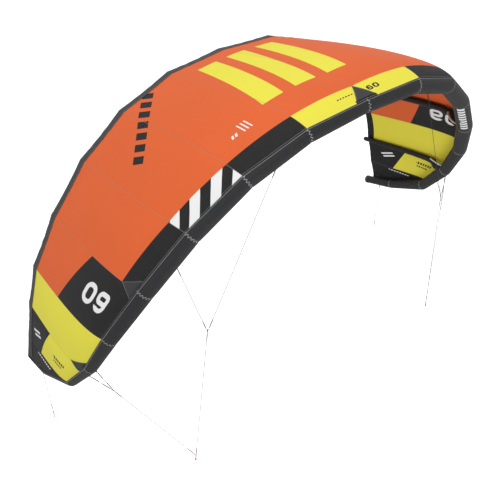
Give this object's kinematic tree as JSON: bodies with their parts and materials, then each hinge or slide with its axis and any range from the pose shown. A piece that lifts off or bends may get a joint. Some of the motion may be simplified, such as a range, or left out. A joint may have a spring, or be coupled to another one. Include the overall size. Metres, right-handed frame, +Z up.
{
  "type": "kitesurf kite",
  "caption": "Inflatable leading-edge kite with a curved ripstop canopy, an inflated front tube, inflated struts, wing-tip tubes and line bridles that swing.",
  "frame": {"origin": "the centre of the leading-edge tube at the middle of the kite", "axes": "+X to one wing tip, across the kite (its widest way); +Y from the leading edge to the trailing edge; +Z up, with the kite in its flying attitude and its lines below"},
  "size_m": [4.1808, 1.9912, 2.992],
  "materials": {
    "black_dacron": "woven, matt",
    "strut_dacron": "woven, matt",
    "orange_ripstop": "ripstop, slight sheen",
    "tip_ripstop": "ripstop, slight sheen",
    "black_reinforcement": "coated, matt",
    "bladder_film": "smooth film",
    "valve_plastic": "moulded",
    "hose_silicone": "smooth",
    "bridle_line": "braided",
    "red_pigtail": "braided"
  },
  "bodies": {
    "kite": {"air_hose_centre": "hose_silicone", "air_hose_inner_left": "hose_silicone", "air_hose_inner_right": "hose_silicone", "air_hose_outer_left": "hose_silicone", "air_hose_outer_right": "hose_silicone", "canopy_inner_left": "orange_ripstop", "canopy_inner_right": "orange_ripstop", "canopy_middle_left": "orange_ripstop", "canopy_middle_right": "orange_ripstop", "canopy_tip_left": "tip_ripstop", "canopy_tip_right": "tip_ripstop", "inflation_valve_body": "valve_plastic", "leading_edge_bladder": "bladder_film", "leading_edge_panel_1_left": "black_dacron", "leading_edge_panel_1_right": "black_dacron", "leading_edge_panel_2_left": "black_dacron", "leading_edge_panel_2_right": "black_dacron", "leading_edge_panel_3_left": "black_dacron", "leading_edge_panel_3_right": "black_dacron", "leading_edge_panel_4_left": "black_dacron", "leading_edge_panel_4_right": "black_dacron", "leading_edge_panel_5_left": "black_dacron", "leading_edge_panel_5_right": "black_dacron", "leading_edge_panel_6_left": "black_dacron", "leading_edge_panel_6_right": "black_dacron", "leading_edge_panel_7_left": "black_dacron", "leading_edge_panel_7_right": "black_dacron", "leading_edge_tip_left": "black_dacron", "leading_edge_tip_right": "black_dacron", "load_patch_centre": "black_reinforcement", "load_patch_inner_left": "black_reinforcement", "load_patch_inner_right": "black_reinforcement", "load_patch_outer_left": "black_reinforcement", "load_patch_outer_right": "black_reinforcement", "strut_bladder_centre": "bladder_film", "strut_bladder_inner_left": "bladder_film", "strut_bladder_inner_right": "bladder_film", "strut_bladder_outer_left": "bladder_film", "strut_bladder_outer_right": "bladder_film", "strut_centre": "strut_dacron", "strut_inner_left": "strut_dacron", "strut_inner_right": "strut_dacron", "strut_outer_left": "strut_dacron", "strut_outer_right": "strut_dacron", "tip_cap_left": "black_reinforcement", "tip_cap_right": "black_reinforcement", "trailing_edge_band": "black_reinforcement"},
    "upper_bridle_yoke_left": {"upper_bridle_yoke_left": "bridle_line"},
    "lower_bridle_yoke_left": {"lower_bridle_yoke_left": "bridle_line"},
    "upper_bridle_line_left": {"upper_bridle_line_left": "bridle_line"},
    "lower_bridle_line_left": {"lower_bridle_line_left": "bridle_line"},
    "front_pigtail_left": {"front_pigtail_left": "red_pigtail"},
    "back_leader_left": {"back_leader_left": "bridle_line"},
    "upper_bridle_yoke_right": {"upper_bridle_yoke_right": "bridle_line"},
    "lower_bridle_yoke_right": {"lower_bridle_yoke_right": "bridle_line"},
    "upper_bridle_line_right": {"upper_bridle_line_right": "bridle_line"},
    "lower_bridle_line_right": {"lower_bridle_line_right": "bridle_line"},
    "front_pigtail_right": {"front_pigtail_right": "bridle_line"},
    "back_leader_right": {"back_leader_right": "bridle_line"},
    "inflation_valve_cap": {"inflation_valve_cap": "valve_plastic"}
  },
  "joints": [
    {"name": "front_bridle_swing_left", "type": "hinge", "parent": "kite", "child": "upper_bridle_yoke_left", "pos_m": [-0.70491, 0.05413, -0.18316], "axis": [0.7647, -0.25, 0.5939], "range_deg": [-5, 5]},
    {"name": "upper_line_fold_left", "type": "hinge", "parent": "upper_bridle_yoke_left", "child": "upper_bridle_line_left", "pos_m": [-1.242, 0.294, -1.364], "axis": [-0.2184, -0.9677, -0.1262], "range_deg": [-5, 5]},
    {"name": "lower_yoke_swing_left", "type": "hinge", "parent": "kite", "child": "lower_bridle_yoke_left", "pos_m": [-1.92209, 0.7891, -1.6579], "axis": [0.1434, -0.7012, 0.6984], "range_deg": [-7, 7]},
    {"name": "lower_line_fold_left", "type": "hinge", "parent": "lower_bridle_yoke_left", "child": "lower_bridle_line_left", "pos_m": [-1.853, 0.751, -1.862], "axis": [-0.8319, -0.4676, -0.2987], "range_deg": [-5, 5]},
    {"name": "front_pigtail_swing_left", "type": "hinge", "parent": "upper_bridle_line_left", "child": "front_pigtail_left", "pos_m": [-1.399, 0.51, -2.749], "axis": [-0.2184, -0.9677, -0.1262], "range_deg": [-45, 45]},
    {"name": "back_leader_swing_left", "type": "hinge", "parent": "kite", "child": "back_leader_left", "pos_m": [-2.03762, 1.73904, -2.18206], "axis": [-0.0371, -0.9806, 0.1924], "range_deg": [-35, 35]},
    {"name": "front_bridle_swing_right", "type": "hinge", "parent": "kite", "child": "upper_bridle_yoke_right", "pos_m": [0.70491, 0.05413, -0.18316], "axis": [0.7647, 0.25, -0.5939], "range_deg": [-5, 5]},
    {"name": "upper_line_fold_right", "type": "hinge", "parent": "upper_bridle_yoke_right", "child": "upper_bridle_line_right", "pos_m": [1.242, 0.294, -1.364], "axis": [-0.2184, 0.9677, 0.1262], "range_deg": [-5, 5]},
    {"name": "lower_yoke_swing_right", "type": "hinge", "parent": "kite", "child": "lower_bridle_yoke_right", "pos_m": [1.92209, 0.7891, -1.6579], "axis": [0.1434, 0.7012, -0.6984], "range_deg": [-7, 7]},
    {"name": "lower_line_fold_right", "type": "hinge", "parent": "lower_bridle_yoke_right", "child": "lower_bridle_line_right", "pos_m": [1.853, 0.751, -1.862], "axis": [-0.8319, 0.4676, 0.2987], "range_deg": [-5, 5]},
    {"name": "front_pigtail_swing_right", "type": "hinge", "parent": "upper_bridle_line_right", "child": "front_pigtail_right", "pos_m": [1.399, 0.51, -2.749], "axis": [-0.2184, 0.9677, 0.1262], "range_deg": [-45, 45]},
    {"name": "back_leader_swing_right", "type": "hinge", "parent": "kite", "child": "back_leader_right", "pos_m": [2.03762, 1.73904, -2.18206], "axis": [-0.0371, 0.9806, -0.1924], "range_deg": [-35, 35]},
    {"name": "valve_cap_hinge", "type": "hinge", "parent": "kite", "child": "inflation_valve_cap", "pos_m": [0.16504, 0.06656, -0.0551], "axis": [-0.0419, -0.5735, -0.8182], "range_deg": [0, 150]}
  ],
  "couplings": [
    {"joint": "upper_line_fold_left", "follows": "front_bridle_swing_left", "ratio": 0.4461},
    {"joint": "lower_yoke_swing_left", "follows": "front_bridle_swing_left", "ratio": 1.3217},
    {"joint": "lower_line_fold_left", "follows": "front_bridle_swing_left", "ratio": -0.8356},
    {"joint": "upper_line_fold_right", "follows": "front_bridle_swing_right", "ratio": 0.4461},
    {"joint": "lower_yoke_swing_right", "follows": "front_bridle_swing_right", "ratio": 1.3217},
    {"joint": "lower_line_fold_right", "follows": "front_bridle_swing_right", "ratio": -0.8356}
  ]
}
